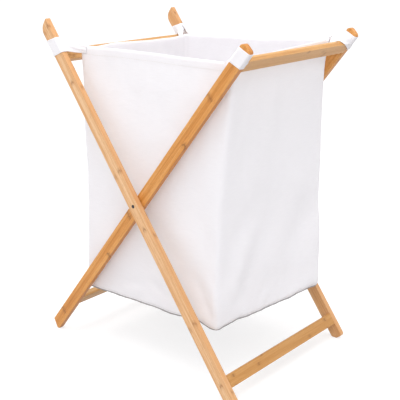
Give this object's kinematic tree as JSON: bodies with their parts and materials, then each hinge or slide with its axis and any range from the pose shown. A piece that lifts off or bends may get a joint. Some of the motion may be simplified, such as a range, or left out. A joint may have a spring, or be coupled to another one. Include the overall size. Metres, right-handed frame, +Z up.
{
  "type": "folding laundry hamper",
  "caption": "Laundry hamper with an open canvas bag slung by corner loops in a crossed bamboo frame that folds flat about a pivot.",
  "frame": {"origin": "on the floor below the pivot axis, midway between the near and far legs, within 5 mm of the middle of the footprint", "axes": "+Z up, X along the fold across the crossed legs with the folding frame's top at +X, Y along the pivot axis and the rails with the near side at -Y"},
  "size_m": [0.5154, 0.403, 0.6858],
  "materials": {
    "bamboo_pale": "satin lacquer over strip bamboo",
    "bamboo": "satin lacquer over strip bamboo",
    "dowel_wood": "plain turned beech",
    "pivot_steel": "black oxide",
    "washer_nylon": "natural nylon",
    "canvas": "plain off-white cotton canvas"
  },
  "bodies": {
    "outer_frame": {"outer_leg_near": "bamboo_pale", "outer_leg_far": "bamboo_pale", "outer_rail_top": "bamboo", "outer_rail_bottom": "bamboo", "outer_dowel_top_near_1": "dowel_wood", "outer_dowel_top_near_2": "dowel_wood", "outer_dowel_top_far_1": "dowel_wood", "outer_dowel_top_far_2": "dowel_wood", "outer_dowel_bottom_near_1": "dowel_wood", "outer_dowel_bottom_near_2": "dowel_wood", "outer_dowel_bottom_far_1": "dowel_wood", "outer_dowel_bottom_far_2": "dowel_wood", "pivot_bolt_near": "pivot_steel", "pivot_bolt_far": "pivot_steel", "loop_outer_near": "canvas", "loop_outer_far": "canvas", "bag": "canvas"},
    "inner_frame": {"inner_leg_near": "bamboo", "inner_leg_far": "bamboo", "inner_rail_top": "bamboo_pale", "inner_rail_bottom": "bamboo_pale", "inner_dowel_top_near_1": "dowel_wood", "inner_dowel_top_near_2": "dowel_wood", "inner_dowel_top_far_1": "dowel_wood", "inner_dowel_top_far_2": "dowel_wood", "inner_dowel_bottom_near_1": "dowel_wood", "inner_dowel_bottom_near_2": "dowel_wood", "inner_dowel_bottom_far_1": "dowel_wood", "inner_dowel_bottom_far_2": "dowel_wood", "pivot_washer_near": "washer_nylon", "pivot_washer_far": "washer_nylon", "pivot_nut_near": "pivot_steel", "pivot_nut_far": "pivot_steel", "loop_inner_near": "canvas", "loop_inner_far": "canvas"}
  },
  "joints": [
    {"name": "fold", "type": "hinge", "parent": "outer_frame", "child": "inner_frame", "pos_m": [0, 0, 0.34094], "axis": [0, -1, 0], "range_deg": [0, 71], "deforming": ["bag"]}
  ]
}
